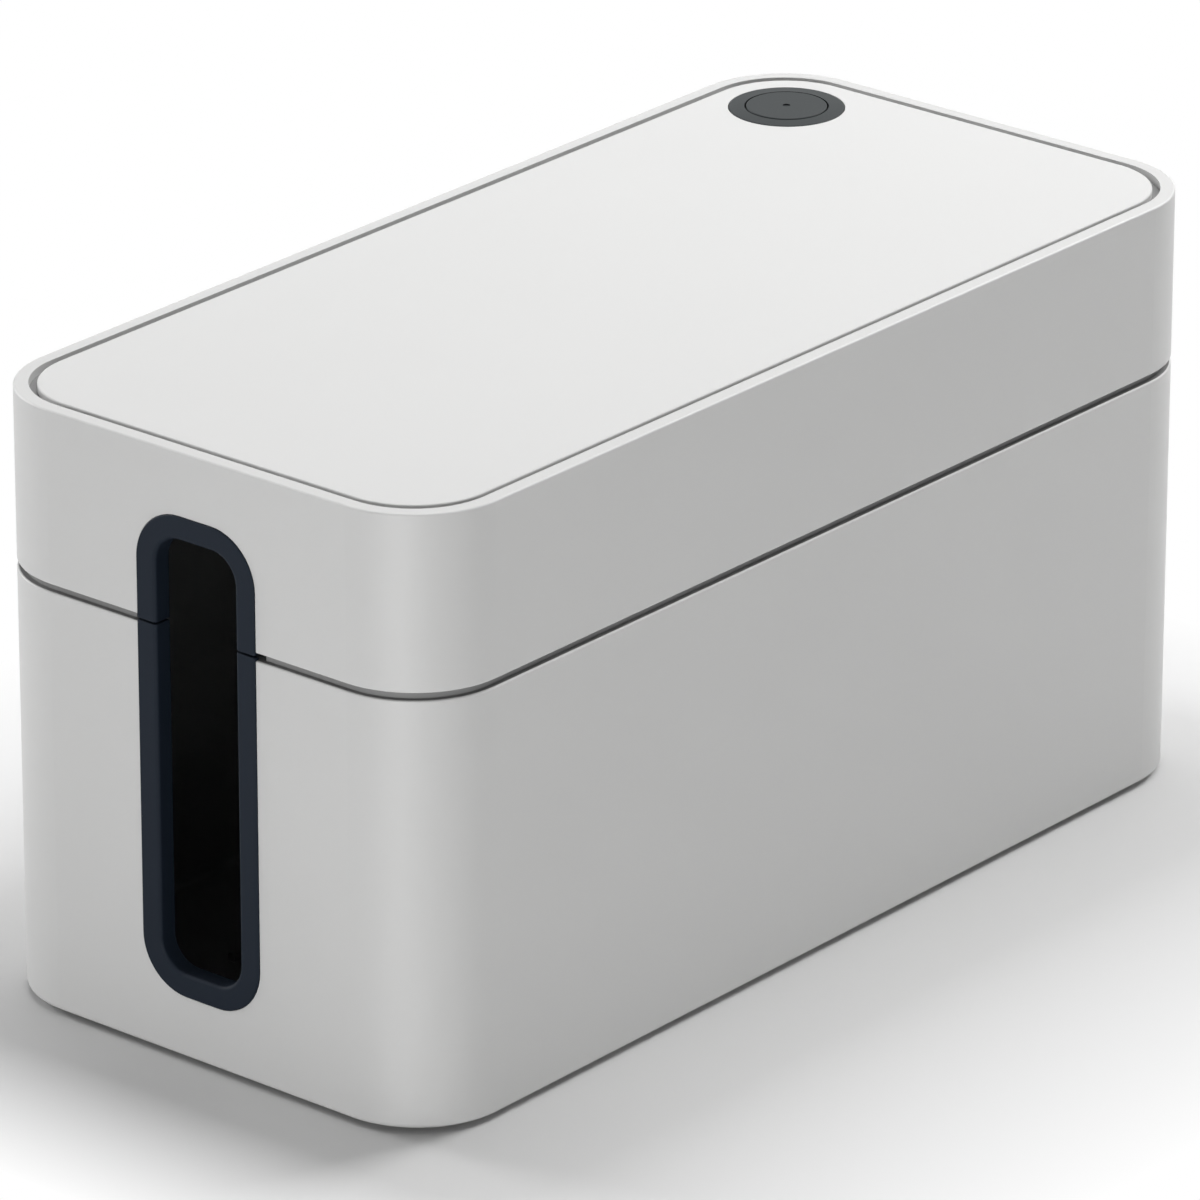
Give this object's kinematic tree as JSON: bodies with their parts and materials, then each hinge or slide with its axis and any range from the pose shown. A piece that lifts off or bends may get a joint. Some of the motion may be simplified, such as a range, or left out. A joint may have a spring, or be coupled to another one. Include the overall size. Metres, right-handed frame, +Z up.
{
  "type": "cable management box",
  "caption": "Closed desk box with rounded corners that hides a power strip: lift-off lid with an inlaid mat, tall cable slots with soft trims in both ends, and a capped cable outlet in the lid.",
  "frame": {"origin": "on the surface that the box stands on, under the middle of the box", "axes": "+X along the long side, towards the end with the round outlet; +Y across the box; +Z up"},
  "size_m": [0.2466, 0.116, 0.1284],
  "materials": {
    "shell": "satin light grey, finely textured",
    "mat": "matt off-white",
    "adhesive_film": "dull translucent film",
    "outlet": "satin dark grey",
    "trim": "soft matt anthracite",
    "foot": "matt black"
  },
  "bodies": {
    "base": {"base_tub": "shell", "left_end_trim_lower": "trim", "right_end_trim_lower": "trim", "foot_front_left": "foot", "foot_front_right": "foot", "foot_rear_left": "foot", "foot_rear_right": "foot"},
    "lid": {"lid_shell": "shell", "lid_mat": "mat", "mat_adhesive_film": "adhesive_film", "outlet_ring": "outlet", "left_end_trim_upper": "trim", "right_end_trim_upper": "trim"},
    "cap": {"outlet_cap": "outlet"}
  },
  "joints": [
    {"name": "lid_lift", "type": "slide", "parent": "base", "child": "lid", "axis": [0, 0, 1], "range_m": [0, 0.12]},
    {"name": "cap_lift", "type": "slide", "parent": "lid", "child": "cap", "axis": [0, 0, 1], "range_m": [0, 0.03]}
  ]
}
